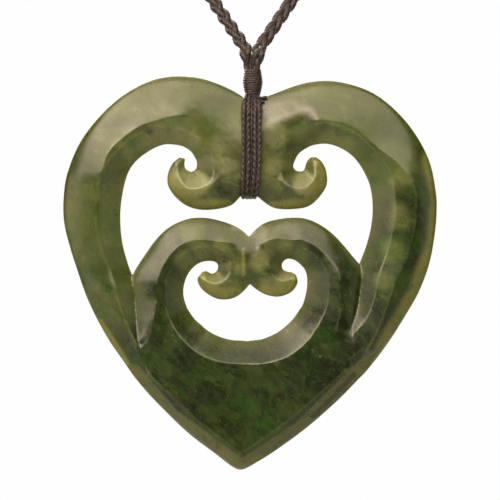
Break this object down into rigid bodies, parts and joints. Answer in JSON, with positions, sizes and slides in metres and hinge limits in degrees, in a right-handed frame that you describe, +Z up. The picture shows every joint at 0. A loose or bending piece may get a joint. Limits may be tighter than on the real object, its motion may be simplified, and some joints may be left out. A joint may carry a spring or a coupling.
{
  "type": "koru heart pendant",
  "caption": "Pierced greenstone heart with koru spirals and bevelled faces, lashed to a plaited waxed neck cord that slips over the head.",
  "frame": {"origin": "point where the neck cord rests on the back of the wearer's neck, at the middle of the cord's round stretch", "axes": "+Z up as worn, +X to the right of someone who looks at the carved face, and the carved face looks along -Y"},
  "size_m": [0.1518, 0.1613, 0.2492],
  "materials": {
    "greenstone": "polished",
    "waxed_thread": "waxed",
    "waxed_plait": "waxed"
  },
  "bodies": {
    "root": {"heart": "greenstone", "lashing_thread_1": "waxed_thread", "lashing_thread_2": "waxed_thread", "lashing_thread_3": "waxed_thread", "lashing_thread_4": "waxed_thread", "whipping": "waxed_thread", "neck_plait": "waxed_plait", "thread_tail": "waxed_thread"}
  },
  "joints": []
}
